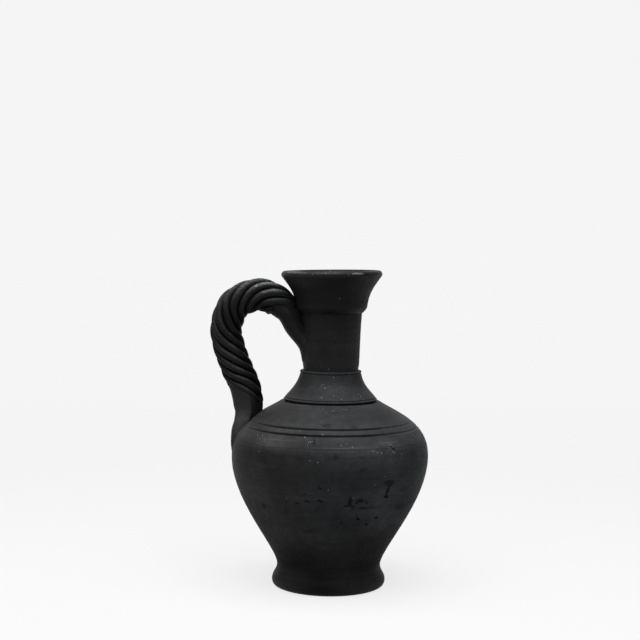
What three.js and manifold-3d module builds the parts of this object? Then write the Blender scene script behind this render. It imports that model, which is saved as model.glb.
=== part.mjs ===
// Unglazed black clay jug with a twisted rope handle, in the sections that a potter lutes together.
// Millimetres, +Z up, origin at the centre of the resting face, handle towards -X.
import * as THREE from 'three';
import { mergeVertices } from 'three/addons/utils/BufferGeometryUtils.js';
import Module from 'manifold-3d';

// Heights of the stacked sections, from the ground up
const FOOT_RISE = 17;
const BOWL_RISE = 86.5;
const SHOULDER_RISE = 44.2;
const COLLAR_RISE = 20.2;
const BEAD_RISE = 3.4;
const NECK_RISE = 45.2;
const MOUTH_RISE = 28.8;
const LIP_RISE = 4.7;

// Outside radii
const FOOT_RADIUS = 44.7;
const WAIST_RADIUS = 40.7;
const BELLY_RADIUS = 77.5;
const COLLAR_RADIUS = 36.6;
const BEAD_RADIUS = 24.2;
const NECK_RADIUS = 22.2;
const NECK_TOP_RADIUS = 24.1;
const STEP_RADIUS = 28.1;
const RIM_RADIUS = 39.8;

// Clay thickness and the joints between sections
const WALL = 5.5;
const NECK_WALL = 5;
const FLOOR = 8;
const LAP = 5;
const SLIP_GAP = 0.3;

// Small turned details
const FOOT_EDGE = 6.6;
const FOOT_WIDEST = 5.2;
const STEP_BEVEL = 5;
const STEP_LEDGE = 0.8;
const COLLAR_UNDERCUT = 1.8;
const COLLAR_SEAT = 0.9;
const LIP_WIDTH = 6.2;
const LIP_LINE = 0.5;
const LINE_WIDTH = 1.4;
const LINE_DEPTH = 0.6;
const SEAM_FRACTION = 0.69;
const UPPER_LINE_FRACTION = 0.8045;
const LOWER_LINE_FRACTION = 0.765;

// Rope handle
const HANDLE_REACH = 83;
const HANDLE_CREST = 13;
const ROPE_RADIUS = 12.6;
const STRANDS = 8;
const STRAND_PHASE = 0.165;
const ROPE_TURNS = [0, 0.302, 0.642, 0.983, 1.393];
const ROPE_TAPER = 0.03;
const GROOVE_DEPTH = 2.4;
const STRAND_GAP = 0.5;
const CORE_RADIUS = 5.6;
const CORE_TENON = 8;
const ROPE_START_FRACTION = 0.243;
const ROPE_END_FRACTION = 0.75;

// Fineness of the facets
const ROUND_SEGMENTS = 36;
const CURVE_STEPS = 7;
const ROPE_STEPS = 28;
const END_STEPS = 12;
const END_SIDES = 18;
const CORE_SIDES = 10;

// Levels
const waistZ = FOOT_RISE;
const bellyZ = waistZ + BOWL_RISE;
const collarZ = bellyZ + SHOULDER_RISE;
const beadZ = collarZ + COLLAR_RISE;
const beadTopZ = beadZ + BEAD_RISE;
const stepZ = beadTopZ + NECK_RISE;
const lipZ = stepZ + MOUTH_RISE;
const rimZ = lipZ + LIP_RISE;

const wasm = await Module();
wasm.setup();

const group = new THREE.Group();
group.name = 'black_clay_jug';

function addPiece(name, geometry, colour, roughness) {
  const material = new THREE.MeshStandardMaterial({ color: colour, roughness, metalness: 0 });
  material.name = name;
  const mesh = new THREE.Mesh(geometry, material);
  mesh.name = name;
  group.add(mesh);
}

function at(radius, height) {
  return new THREE.Vector2(radius, height);
}

function bezier(start, leave, arrive, end) {
  return new THREE.CubicBezierCurve(start, leave, arrive, end);
}

// Point of a rising profile curve, moved into the clay by depth
function inWall(curve, fraction, depth) {
  const point = curve.getPoint(fraction);
  const along = curve.getTangent(fraction);
  return at(point.x - along.y * depth, point.y + along.x * depth);
}

// Points along a profile curve between two fractions, at one depth in the clay
function wallRun(curve, from, to, depth, steps = CURVE_STEPS) {
  const points = [];
  for (let i = 0; i <= steps; i += 1) {
    points.push(inWall(curve, from + ((to - from) * i) / steps, depth));
  }
  return points;
}

// Closed outline of radius and height, turned round the Z axis
function turned(outline) {
  const closed = [...outline, outline[0].clone()];
  return new THREE.LatheGeometry(closed, ROUND_SEGMENTS).rotateX(Math.PI / 2);
}

function toSolid(geometry) {
  const bare = new THREE.BufferGeometry();
  bare.setAttribute('position', geometry.getAttribute('position'));
  bare.setIndex(geometry.getIndex());
  const merged = mergeVertices(bare, 1e-4);
  const mesh = new wasm.Mesh({
    numProp: 3,
    vertProperties: new Float32Array(merged.getAttribute('position').array),
    triVerts: new Uint32Array(merged.getIndex().array),
  });
  return new wasm.Manifold(mesh);
}

function toGeometry(solid) {
  const mesh = solid.getMesh();
  const geometry = new THREE.BufferGeometry();
  geometry.setAttribute('position', new THREE.BufferAttribute(mesh.vertProperties, 3));
  geometry.setIndex(new THREE.BufferAttribute(mesh.triVerts, 1));
  return geometry;
}

// Profile of the body from the waist to the collar's seat, measured along its length
const bodyWidening = BELLY_RADIUS - COLLAR_RADIUS;
const bodyProfile = new THREE.CurvePath();
bodyProfile.add(bezier(
  at(WAIST_RADIUS, waistZ),
  at(WAIST_RADIUS, waistZ + 0.153 * BOWL_RISE),
  at(BELLY_RADIUS, bellyZ - 0.408 * BOWL_RISE),
  at(BELLY_RADIUS, bellyZ),
));
bodyProfile.add(bezier(
  at(BELLY_RADIUS, bellyZ),
  at(BELLY_RADIUS, bellyZ + 0.62 * SHOULDER_RISE),
  at(COLLAR_RADIUS + 0.44 * bodyWidening, collarZ - 0.25 * SHOULDER_RISE),
  at(COLLAR_RADIUS + COLLAR_SEAT, collarZ),
));
const bodyLength = bodyProfile.getLength();
const lapPart = LAP / bodyLength;
const gapPart = SLIP_GAP / bodyLength;
const outerHalf = (WALL - SLIP_GAP) / 2;
const innerHalf = (WALL + SLIP_GAP) / 2;

// Foot: flat resting face, rounded edge, splay up to the waist, floor, and a spigot for the bowl
const footEdge = bezier(
  at(FOOT_RADIUS - FOOT_EDGE, 0),
  at(FOOT_RADIUS - 0.3 * FOOT_EDGE, 0),
  at(FOOT_RADIUS, 0.35 * FOOT_WIDEST),
  at(FOOT_RADIUS, FOOT_WIDEST),
);
const footSplay = bezier(
  at(FOOT_RADIUS, FOOT_WIDEST),
  at(FOOT_RADIUS, FOOT_WIDEST + 0.35 * (waistZ - FOOT_WIDEST)),
  at(WAIST_RADIUS, waistZ - 0.4 * (waistZ - FOOT_WIDEST)),
  at(WAIST_RADIUS, waistZ),
);
const floorRadius = WAIST_RADIUS - WALL;
addPiece('foot', turned([
  at(0, 0),
  ...footEdge.getPoints(3),
  ...footSplay.getPoints(5).slice(1),
  ...wallRun(bodyProfile, 0, lapPart, innerHalf, 1),
  ...wallRun(bodyProfile, lapPart, 0, WALL, 1),
  at(floorRadius, FLOOR + 0.3 * (waistZ - FLOOR)),
  at(floorRadius - 0.1 * floorRadius, FLOOR),
  at(0, FLOOR),
]), 0x1d1d1d, 0.85);

// Bowl: rebated over the foot's spigot, with its own spigot for the shoulder
addPiece('body_bowl', turned([
  ...wallRun(bodyProfile, gapPart, SEAM_FRACTION, 0, 2 * CURVE_STEPS),
  ...wallRun(bodyProfile, SEAM_FRACTION, SEAM_FRACTION + lapPart, innerHalf, 1),
  ...wallRun(bodyProfile, SEAM_FRACTION + lapPart, gapPart + lapPart, WALL),
  ...wallRun(bodyProfile, gapPart + lapPart, gapPart, outerHalf, 1),
]), 0x242424, 0.7);

// Shoulder: two incised lines outside, flat land and round opening for the collar
function incised(fraction) {
  const half = LINE_WIDTH / (2 * bodyLength);
  return [
    inWall(bodyProfile, fraction - half, 0),
    inWall(bodyProfile, fraction, LINE_DEPTH),
    inWall(bodyProfile, fraction + half, 0),
  ];
}
const shoulderStart = SEAM_FRACTION + gapPart;
const lineMargin = LINE_WIDTH / bodyLength;
const collarBore = COLLAR_RADIUS - WALL - SLIP_GAP;
addPiece('shoulder_dome', turned([
  ...wallRun(bodyProfile, shoulderStart, LOWER_LINE_FRACTION - lineMargin, 0, 3),
  ...incised(LOWER_LINE_FRACTION),
  ...incised(UPPER_LINE_FRACTION),
  ...wallRun(bodyProfile, UPPER_LINE_FRACTION + lineMargin, 1, 0, 4),
  at(collarBore, collarZ),
  at(collarBore, collarZ - LAP),
  ...wallRun(bodyProfile, 0.97, shoulderStart + lapPart, WALL, 4),
  ...wallRun(bodyProfile, shoulderStart + lapPart, shoulderStart, outerHalf, 1),
]), 0x303030, 0.65);

// Collar: spigot in the shoulder's opening, undercut ridge, concave flare, bead and socket for the neck
const collarSeatZ = collarZ + SLIP_GAP;
const collarFlare = bezier(
  at(COLLAR_RADIUS, collarZ + COLLAR_UNDERCUT),
  at(COLLAR_RADIUS - 0.4 * (COLLAR_RADIUS - BEAD_RADIUS), collarZ + 0.338 * COLLAR_RISE),
  at(BEAD_RADIUS + 0.15 * (COLLAR_RADIUS - BEAD_RADIUS), collarZ + 0.588 * COLLAR_RISE),
  at(BEAD_RADIUS, beadZ - 0.04 * COLLAR_RISE),
);
const neckBore = NECK_RADIUS - NECK_WALL;
const socketZ = beadTopZ - LAP;
const spigotRadius = collarBore - SLIP_GAP;
addPiece('neck_collar', turned([
  at(spigotRadius, collarZ - LAP),
  at(spigotRadius, collarSeatZ),
  at(COLLAR_RADIUS - LINE_DEPTH, collarSeatZ),
  ...collarFlare.getPoints(CURVE_STEPS),
  at(BEAD_RADIUS - LINE_DEPTH, beadZ),
  at(BEAD_RADIUS, beadZ + 0.25 * BEAD_RISE),
  at(BEAD_RADIUS, beadTopZ - 0.35 * BEAD_RISE),
  at(BEAD_RADIUS - 0.25 * BEAD_RISE, beadTopZ),
  at(NECK_RADIUS + SLIP_GAP, beadTopZ),
  at(NECK_RADIUS + SLIP_GAP, socketZ),
  at(neckBore, socketZ),
  at(neckBore + 0.1 * WALL, collarZ + 0.6 * COLLAR_RISE),
  at(spigotRadius - WALL, collarZ - LAP),
]), 0x2e2e2e, 0.65);

// Neck: lower end in the collar's socket, upper end in the mouth's socket
const neckSide = bezier(
  at(NECK_RADIUS, beadTopZ),
  at(NECK_RADIUS + 0.16 * (NECK_TOP_RADIUS - NECK_RADIUS), beadTopZ + 0.32 * NECK_RISE),
  at(NECK_RADIUS + 0.32 * (NECK_TOP_RADIUS - NECK_RADIUS), beadTopZ + 0.71 * NECK_RISE),
  at(NECK_TOP_RADIUS, stepZ),
);
const mouthBore = NECK_TOP_RADIUS - NECK_WALL;
addPiece('neck_tube', turned([
  at(NECK_RADIUS, socketZ + SLIP_GAP),
  ...neckSide.getPoints(5),
  at(NECK_TOP_RADIUS, stepZ + LAP),
  at(mouthBore, stepZ + LAP),
  at(neckBore, socketZ + SLIP_GAP),
]), 0x1f1f1f, 0.75);

// Mouth: socket over the neck, bevelled step, flare and a rebate for the lip
const mouthFlare = bezier(
  at(STEP_RADIUS, stepZ + STEP_BEVEL),
  at(STEP_RADIUS + 0.12 * (RIM_RADIUS - STEP_RADIUS), stepZ + 0.52 * MOUTH_RISE),
  at(STEP_RADIUS + 0.34 * (RIM_RADIUS - STEP_RADIUS), stepZ + 0.66 * MOUTH_RISE),
  at(RIM_RADIUS - LIP_LINE, lipZ),
);
const lipInner = RIM_RADIUS - LIP_WIDTH;
const lipMiddle = (RIM_RADIUS + lipInner) / 2;
const lipTongue = 0.4 * LIP_RISE;
addPiece('mouth_flare', turned([
  at(NECK_TOP_RADIUS + SLIP_GAP, stepZ),
  at(NECK_TOP_RADIUS + STEP_LEDGE, stepZ),
  ...mouthFlare.getPoints(CURVE_STEPS + 1),
  at(lipMiddle, lipZ),
  at(lipMiddle, lipZ + lipTongue),
  at(lipInner, lipZ + lipTongue),
  ...wallRun(mouthFlare, 0.9, 0.3, NECK_WALL, 3),
  at(mouthBore, stepZ + LAP + SLIP_GAP),
  at(NECK_TOP_RADIUS + SLIP_GAP, stepZ + LAP + SLIP_GAP),
]), 0x1b1b1b, 0.8);

// Lip: rounded roll that sits over the mouth's tongue
const lipRoll = bezier(
  at(RIM_RADIUS, lipZ + 0.3 * LIP_RISE),
  at(RIM_RADIUS + 0.02 * LIP_WIDTH, rimZ + 0.06 * LIP_RISE),
  at(lipInner, rimZ + 0.28 * LIP_RISE),
  at(lipInner, lipZ + lipTongue + SLIP_GAP),
);
addPiece('rim_lip', turned([
  at(lipMiddle + SLIP_GAP, lipZ + SLIP_GAP),
  at(RIM_RADIUS - LIP_LINE, lipZ + SLIP_GAP),
  ...lipRoll.getPoints(7),
  at(lipMiddle + SLIP_GAP, lipZ + lipTongue + SLIP_GAP),
]), 0x3a3a3a, 0.55);

// Outside of the vessel with the slip gap added, for seating the handle's ends
function envelope(outline) {
  const bottom = outline[0];
  const top = outline[outline.length - 1];
  return toSolid(turned([at(0, bottom.y), ...outline, at(0, top.y)]));
}
const bodyEnvelope = envelope(wallRun(bodyProfile, 0.02, 1, -SLIP_GAP, 4 * CURVE_STEPS));
const neckEnvelope = envelope([
  at(NECK_RADIUS + SLIP_GAP, beadTopZ),
  ...wallRun(neckSide, 0.02, 0.98, -SLIP_GAP, 8),
  at(NECK_TOP_RADIUS + STEP_LEDGE, stepZ - SLIP_GAP),
  ...wallRun(mouthFlare, 0, 1, -SLIP_GAP, CURVE_STEPS + 1),
]);
const vesselEnvelope = bodyEnvelope.add(neckEnvelope);

// Line of the handle, from inside the neck over the crest and down the wall of the body
const handleLine = new THREE.CatmullRomCurve3([
  [0.8 * NECK_RADIUS, stepZ - 0.852 * NECK_RISE],
  [0.875 * NECK_RADIUS, stepZ - 0.587 * NECK_RISE],
  [1.22 * NECK_RADIUS, stepZ - 0.2545 * NECK_RISE],
  [0.43 * HANDLE_REACH, stepZ + 0.246 * HANDLE_CREST],
  [0.67 * HANDLE_REACH, stepZ + HANDLE_CREST],
  [0.907 * HANDLE_REACH, stepZ + 0.431 * HANDLE_CREST],
  [HANDLE_REACH, stepZ - 0.31 * NECK_RISE],
  [0.928 * HANDLE_REACH, stepZ - 0.841 * NECK_RISE],
  [0.868 * BELLY_RADIUS, collarZ + 0.42 * COLLAR_RISE],
  [0.835 * BELLY_RADIUS, collarZ - 0.215 * SHOULDER_RISE],
  [0.895 * BELLY_RADIUS, collarZ - 0.423 * SHOULDER_RISE],
  [0.947 * BELLY_RADIUS, bellyZ + 0.396 * SHOULDER_RISE],
  [0.988 * BELLY_RADIUS, bellyZ + 0.17 * SHOULDER_RISE],
  [0.997 * BELLY_RADIUS, bellyZ - 0.064 * BOWL_RISE],
].map(([reach, height]) => new THREE.Vector3(-reach, 0, height)), false, 'centripetal');
const handleLength = handleLine.getLength();

// Bends a straight extrusion on to a stretch of the handle's line
// In the section, x is towards the viewer's side (-Y) and y is away from the finger gap
function bent(shape, from, to, steps, place) {
  const geometry = new THREE.ExtrudeGeometry(shape, { depth: 1, steps, bevelEnabled: false });
  const position = geometry.getAttribute('position');
  for (let i = 0; i < position.count; i += 1) {
    const part = position.getZ(i);
    const where = THREE.MathUtils.clamp(from + (to - from) * part, 0, 1);
    const centre = handleLine.getPointAt(where);
    const along = handleLine.getTangentAt(where);
    const [side, out] = place(position.getX(i), position.getY(i), part);
    const x = centre.x + out * along.z;
    const z = centre.z - out * along.x;
    position.setXYZ(i, x, -side, z);
  }
  return geometry;
}

function roundShape(radius, sides) {
  const shape = new THREE.Shape();
  for (let i = 0; i < sides; i += 1) {
    const angle = (2 * Math.PI * i) / sides;
    const point = at(radius * Math.cos(angle), radius * Math.sin(angle));
    if (i === 0) shape.moveTo(point.x, point.y);
    else shape.lineTo(point.x, point.y);
  }
  shape.closePath();
  return shape;
}

// Core coil, with a tenon in each end piece
const tenonPart = CORE_TENON / handleLength;
const endGap = SLIP_GAP / handleLength;
const asDrawn = (x, y) => [x, y];
const coreFrom = ROPE_START_FRACTION - tenonPart;
const coreTo = ROPE_END_FRACTION + tenonPart;
const coreBlank = bent(roundShape(CORE_RADIUS, CORE_SIDES), coreFrom, coreTo, ROPE_STEPS, asDrawn);
addPiece('handle_core', coreBlank, 0x202020, 0.8);

// One strand of the rope: a rounded lobe outside, seated on the core inside
function strandShape() {
  const halfAngle = Math.PI / STRANDS;
  const valley = ROPE_RADIUS - GROOVE_DEPTH;
  const seat = (CORE_RADIUS + SLIP_GAP) / (1 - ROPE_TAPER);
  const reach = (radius) => halfAngle - STRAND_GAP / (2 * radius);
  const points = [];
  for (let i = -3; i <= 3; i += 1) {
    const across = Math.sin((i / 3) * (Math.PI / 2));
    const radius = valley + GROOVE_DEPTH * Math.sqrt(1 - across * across);
    const angle = across * reach(valley);
    points.push(at(radius * Math.cos(angle), radius * Math.sin(angle)));
  }
  for (let i = 1; i >= -1; i -= 1) {
    const angle = i * reach(seat);
    points.push(at(seat * Math.cos(angle), seat * Math.sin(angle)));
  }
  return new THREE.Shape(points);
}

// Turn of the rope at a fraction of its length, through the turns reached at evenly spaced places
const ropeTwist = new THREE.SplineCurve(ROPE_TURNS.map((turns, i) => at(i, turns)));
function ropeTurn(part) {
  return 2 * Math.PI * ropeTwist.getPoint(part).y;
}

// Slimming of the rope over the last part of its length
function ropeSwell(part) {
  return 1 - ROPE_TAPER * THREE.MathUtils.smoothstep(part, 0.6, 1);
}

for (let strand = 0; strand < STRANDS; strand += 1) {
  const lay = STRAND_PHASE + (2 * Math.PI * strand) / STRANDS;
  const geometry = bent(strandShape(), ROPE_START_FRACTION, ROPE_END_FRACTION, ROPE_STEPS, (x, y, part) => {
    const angle = lay - ropeTurn(part);
    const side = x * Math.cos(angle) - y * Math.sin(angle);
    const out = x * Math.sin(angle) + y * Math.cos(angle);
    return [side * ropeSwell(part), out * ropeSwell(part)];
  });
  const seated = toSolid(geometry).subtract(vesselEnvelope);
  addPiece(`handle_strand_${strand + 1}`, toGeometry(seated), 0x2b2b2b, 0.6);
}

// Half-widths of an end piece at a fraction of its length, in rope radii, read between the given stations
function between(stations, part) {
  for (let i = 1; i < stations.length; i += 1) {
    const [before, low] = stations[i - 1];
    const [after, high] = stations[i];
    const share = (part - before) / (after - before);
    if (share <= 1) return ROPE_RADIUS * (low + (high - low) * share);
  }
  return ROPE_RADIUS * stations[stations.length - 1][1];
}

// Mortise for the core's tenon, cut a slip gap larger all round
const mortise = toSolid(bent(
  roundShape(CORE_RADIUS + 2 * SLIP_GAP, CORE_SIDES),
  coreFrom - endGap,
  coreTo + endGap,
  ROPE_STEPS,
  asDrawn,
));

// Root: from the rope into the side of the neck, broader and flatter where it is pressed on
const rootSide = [[0, 0.794], [0.22, 1.071], [0.54, 1.032], [1, 1]];
const rootOut = [[0, 0.389], [0.22, 0.413], [0.54, 0.667], [0.85, 0.833], [1, 1]];
const rootBlank = bent(roundShape(1, END_SIDES), 0, ROPE_START_FRACTION - endGap, END_STEPS, (x, y, part) => [
  x * between(rootSide, part),
  y * between(rootOut, part),
]);
const root = toSolid(rootBlank).subtract(vesselEnvelope).subtract(mortise);
addPiece('handle_root', toGeometry(root), 0x202020, 0.75);

// Tail: from the rope on to the shoulder, narrowed and thinned down the wall, wrapped round the body
const tailSide = [
  [0, 1], [0.22, 0.9], [0.41, 0.95], [0.56, 0.76], [0.69, 0.6], [0.82, 0.42], [1, 0.22],
];
const tailOut = [[0, 1], [0.22, 0.873], [0.41, 0.556], [0.57, 0.357], [0.76, 0.206], [1, 0.095]];
const tailBlank = bent(roundShape(1, END_SIDES), ROPE_END_FRACTION + endGap, 1, END_STEPS, (x, y, part) => [
  x * between(tailSide, part),
  y * between(tailOut, part),
]);
const tailPosition = tailBlank.getAttribute('position');
for (let i = 0; i < tailPosition.count; i += 1) {
  const radius = -tailPosition.getX(i);
  const wrap = THREE.MathUtils.smoothstep(collarZ - tailPosition.getZ(i), 0, 0.6 * SHOULDER_RISE);
  const angle = tailPosition.getY(i) / radius;
  const wrapped = radius * (1 - wrap * (1 - Math.cos(angle)));
  tailPosition.setX(i, -wrapped);
}
const tail = toSolid(tailBlank).subtract(vesselEnvelope).subtract(mortise);
addPiece('handle_tail', toGeometry(tail), 0x2a2a2a, 0.65);

export default group;
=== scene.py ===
# Looks of the black clay jug: smooth turned sections, a twisted rope handle and smoke-blackened clay.
# Metres, +Z up, origin under the foot, handle towards -X, seen along +Y.
import math

import bpy
import numpy as np
from mathutils import Matrix, Vector


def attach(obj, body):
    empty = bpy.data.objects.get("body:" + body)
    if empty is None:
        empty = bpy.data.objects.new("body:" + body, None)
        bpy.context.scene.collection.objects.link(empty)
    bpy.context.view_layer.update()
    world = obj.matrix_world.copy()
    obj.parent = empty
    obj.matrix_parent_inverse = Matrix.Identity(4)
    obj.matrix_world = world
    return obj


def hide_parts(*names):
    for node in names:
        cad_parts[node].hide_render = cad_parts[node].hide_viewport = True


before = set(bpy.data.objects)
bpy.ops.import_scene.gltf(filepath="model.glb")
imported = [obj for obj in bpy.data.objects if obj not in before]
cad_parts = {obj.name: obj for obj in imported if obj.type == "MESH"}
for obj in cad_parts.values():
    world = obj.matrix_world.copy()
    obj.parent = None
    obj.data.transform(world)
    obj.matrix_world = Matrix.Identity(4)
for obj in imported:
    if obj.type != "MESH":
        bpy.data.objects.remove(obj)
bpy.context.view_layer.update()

MM = 0.001

# Heights of the stacked sections, from the ground up
FOOT_RISE = 17 * MM
BOWL_RISE = 86.5 * MM
SHOULDER_RISE = 44.2 * MM
COLLAR_RISE = 20.2 * MM
BEAD_RISE = 3.4 * MM
NECK_RISE = 45.2 * MM
MOUTH_RISE = 28.8 * MM
LIP_RISE = 4.7 * MM

# Outside radii
FOOT_RADIUS = 44.7 * MM
WAIST_RADIUS = 40.7 * MM
BELLY_RADIUS = 77.5 * MM
COLLAR_RADIUS = 36.6 * MM
BEAD_RADIUS = 24.2 * MM
NECK_RADIUS = 22.2 * MM
NECK_TOP_RADIUS = 24.1 * MM
STEP_RADIUS = 28.1 * MM
RIM_RADIUS = 39.8 * MM

# Clay thickness
WALL = 5.5 * MM
NECK_WALL = 5 * MM
FLOOR = 8 * MM
LIP_WIDTH = 6.2 * MM

# Small turned details
FOOT_EDGE = 6.6 * MM
FOOT_WIDEST = 5.2 * MM
STEP_BEVEL = 5 * MM
STEP_LEDGE = 0.8 * MM
COLLAR_RIDGE = 1.9 * MM
RIDGE_STEP = 1 * MM
COLLAR_SEAT = 0.9 * MM
COLLAR_GROOVE = 2.5 * MM
RIDGE_LINE = 0.5 * MM
BEAD_LINE = 0.6 * MM
LIP_LINE = 0.3 * MM
MOUTH_LEAN = 0.017
MOUTH_TILT = 0.008

# Seam and incised lines, at shares of the body's outside from waist to collar
SEAM_SHARE = 0.69
SEAM_WIDTH = 0.5 * MM
SEAM_DEPTH = 0.13 * MM
LINE_SHARES = (0.765, 0.8045)
LINE_WIDTH = 0.85 * MM
LINE_DEPTH = 1.5 * MM

# Share of the incised lines' depth that is worn away, by place across the body from -1 to 1
LINE_WEAR = np.array([
    (-1, 0.9), (-0.88, 0.65), (-0.78, 0.3), (-0.6, 0), (0.4, 0), (0.7, 0.57), (1, 0.7),
])

# Drift of the thrown clay off the axis, as height and sideways drift
DRIFT = np.array([
    (0, -0.1), (50, -0.3), (92, -0.25), (116, 0.15), (148, -0.1),
    (160, -0.2), (174, 0.05), (195, 0.2), (250, 0),
]) * MM

# Unevenness of the thrown clay: slow swells round it, and coarse and fine ridges from the fingers
OVAL_SWELL = 0.12 * MM
THREE_SIDED_SWELL = 0.1 * MM
COARSE_RIDGE = 0.012 * MM
COARSE_WAVES = 900
FINE_RIDGE = 0.005 * MM
FINE_WAVES = 3100
EVEN_FOOT = 10 * MM

# Rope handle, with lengths along it as shares of its line from neck to belly
HANDLE_REACH = 83 * MM
HANDLE_CREST = 13 * MM
ROPE_RADIUS = 12.6 * MM
STRANDS = 8
STRAND_PHASE = 0.165
ROPE_TURNS = (0.008, 0.291, 0.617, 0.954, 1.338)
ROPE_FROM = 0.243
ROPE_TO = 0.75
STRAND_SPAN = (0.12, 0.84)
CORE_SPAN = (0.14, 0.85)
ROOT_SPAN = (0, 0.4)
TAIL_SPAN = (0.6, 1)

# Where the strands come out of the root and end on the tail: a place, its change round the rope, and the
# length over which they fade
START_PLACE = 0.193
START_DELAY = 0.053
START_FADE = 0.06
END_PLACE = 0.747
END_LEAN = 0.046
END_FADE = 0.07

# Small wander and fullness of the strands, as waves of a size, a count and a phase for each strand
STRAND_WANDER = ((0.035, 31, 2.1), (0.02, 67, 1.3))
STRAND_PLUMP = ((0.012, 23, 1.9), (0.008, 57, 0.7))

# Fullness of the rope's pieces, as shares of the handle's half-widths
FULL_SHARE = 1.02
GROOVE_SHARE = 0.36
CORE_SHARE = 0.62
STRAND_BOTTOM = 0.52
SUNK_SHARE = 0.3
STRAND_DROP = 0.03
ROOT_DIP = 0.12
TAIL_HIDDEN = 0.6
TAIL_RISE = 0.37
TAIL_SWELL = 0.03

# Shape of the handle's smooth ends, and the spans over which they take it
ROOT_PINCH = 0.5
ROOT_SHAPED = (0.15, 0.23)
TAIL_PINCH = 0.6
TAIL_SKEW = 0.2
TAIL_SHAPED = (0.72, 0.8)
TAIL_LEVEL = (0.86, 0.93)
ROOT_SMEAR = 2.2 * MM
TAIL_SMEAR = 1.2 * MM
SMEAR_RISE = 8 * MM

# Strength of the painted shade on the handle, and the width of the painted shadow in the tail's crease
GAP_SHADE = 0.6
ROOT_SHADE = 0.35
TAIL_SHADE = 0.45
CREASE = 0.7 * MM

# Fineness of the meshes
AROUND = 256
BODY_STEPS = 600
LINE_STEPS = 80
ROPE_STEPS = 260
STRAND_SIDES = 18
END_SIDES = 96
END_STEPS = 150
CORE_STEPS = 90
SHARP_ANGLE = 42
SAME_POINT = 1e-6

# Levels
WAIST_Z = FOOT_RISE
BELLY_Z = WAIST_Z + BOWL_RISE
COLLAR_Z = BELLY_Z + SHOULDER_RISE
BEAD_Z = COLLAR_Z + COLLAR_RISE
BEAD_TOP_Z = BEAD_Z + BEAD_RISE
STEP_Z = BEAD_TOP_Z + NECK_RISE
LIP_Z = STEP_Z + MOUTH_RISE
RIM_Z = LIP_Z + LIP_RISE


# Curves

def smoothstep(value, low, high):
    """0 below low, 1 above high, smooth between."""
    t = np.clip((value - low) / (high - low), 0, 1)
    return t * t * (3 - 2 * t)


def bezier(start, leave, arrive, end, steps):
    """Points of a cubic curve from its ends and two handles."""
    t = np.linspace(0, 1, steps + 1)[:, None]
    points = [np.array(p, float) for p in (start, leave, arrive, end)]
    weights = ((1 - t) ** 3, 3 * t * (1 - t) ** 2, 3 * t**2 * (1 - t), t**3)
    return sum(w * p for w, p in zip(weights, points))


def cubic(t, start, end, leave, arrive):
    """A cubic from start to end as t goes from 0 to 1, from its slopes at both."""
    square = 3 * (end - start) - 2 * leave - arrive
    cube = 2 * (start - end) + leave + arrive
    return start + leave * t + square * t**2 + cube * t**3


def stations(share, pairs):
    """Value at a share, read smoothly between (share, value) pairs."""
    places, values = np.array(pairs, float).T
    slope = np.gradient(values, places)
    index = np.clip(np.searchsorted(places, share) - 1, 0, len(places) - 2)
    width = places[index + 1] - places[index]
    t = np.clip((share - places[index]) / width, 0, 1)
    leave, arrive = slope[index] * width, slope[index + 1] * width
    return cubic(t, values[index], values[index + 1], leave, arrive)


def straight(start, end, steps):
    """Points from one place to another."""
    t = np.linspace(0, 1, steps + 1)[:, None]
    return np.array(start) + (np.array(end) - np.array(start)) * t


def joined(*runs):
    """Runs of profile points end to end, without repeats."""
    points = np.vstack([np.atleast_2d(np.array(run, float)) for run in runs])
    apart = np.linalg.norm(np.diff(points, axis=0), axis=1) > SAME_POINT
    return points[[True] + apart.tolist()]


def length_shares(points):
    """Share of a run's length at each of its points, and the length."""
    lengths = np.linalg.norm(np.diff(points, axis=0), axis=1)
    return np.concatenate([[0], np.cumsum(lengths)]) / lengths.sum(), lengths.sum()


def full_turn(count):
    """Evenly spaced angles round a circle."""
    return np.linspace(0, 2 * math.pi, count, endpoint=False)


# Profiles in radius and height

def body_curve():
    """Dense points of the body's outside from waist to collar."""
    widening = BELLY_RADIUS - COLLAR_RADIUS
    lower = bezier(
        (WAIST_RADIUS, WAIST_Z),
        (WAIST_RADIUS, WAIST_Z + 0.153 * BOWL_RISE),
        (BELLY_RADIUS, BELLY_Z - 0.408 * BOWL_RISE),
        (BELLY_RADIUS, BELLY_Z),
        BODY_STEPS,
    )
    upper = bezier(
        (BELLY_RADIUS, BELLY_Z),
        (BELLY_RADIUS, BELLY_Z + 0.62 * SHOULDER_RISE),
        (COLLAR_RADIUS + 0.44 * widening, COLLAR_Z - 0.25 * SHOULDER_RISE),
        (COLLAR_RADIUS + COLLAR_SEAT, COLLAR_Z),
        BODY_STEPS,
    )
    return np.vstack([lower, upper[1:]])


BODY_POINTS = body_curve()
BODY_SHARE, BODY_LENGTH = length_shares(BODY_POINTS)


def into_wall(points, depth):
    """A rising run of points moved into the clay by a depth, or by one depth for each point."""
    along = np.gradient(points, axis=0)
    along /= np.linalg.norm(along, axis=1, keepdims=True)
    inward = np.stack([-along[:, 1], along[:, 0]], axis=1)
    return points + inward * np.reshape(depth, (-1, 1))


def body_run(start, end, steps, depth=0.0):
    """Points along the body between two shares of its length."""
    share = np.linspace(start, end, steps + 1)
    dense = into_wall(BODY_POINTS, depth) if depth else BODY_POINTS
    columns = [np.interp(share, BODY_SHARE, dense[:, k]) for k in (0, 1)]
    return np.stack(columns, axis=1)


def dip(share, place, width, depth):
    """Depth of a soft round-bottomed line cut across the body's profile."""
    off = (share - place) * BODY_LENGTH / width
    return depth * np.exp(-(off**4))


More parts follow.
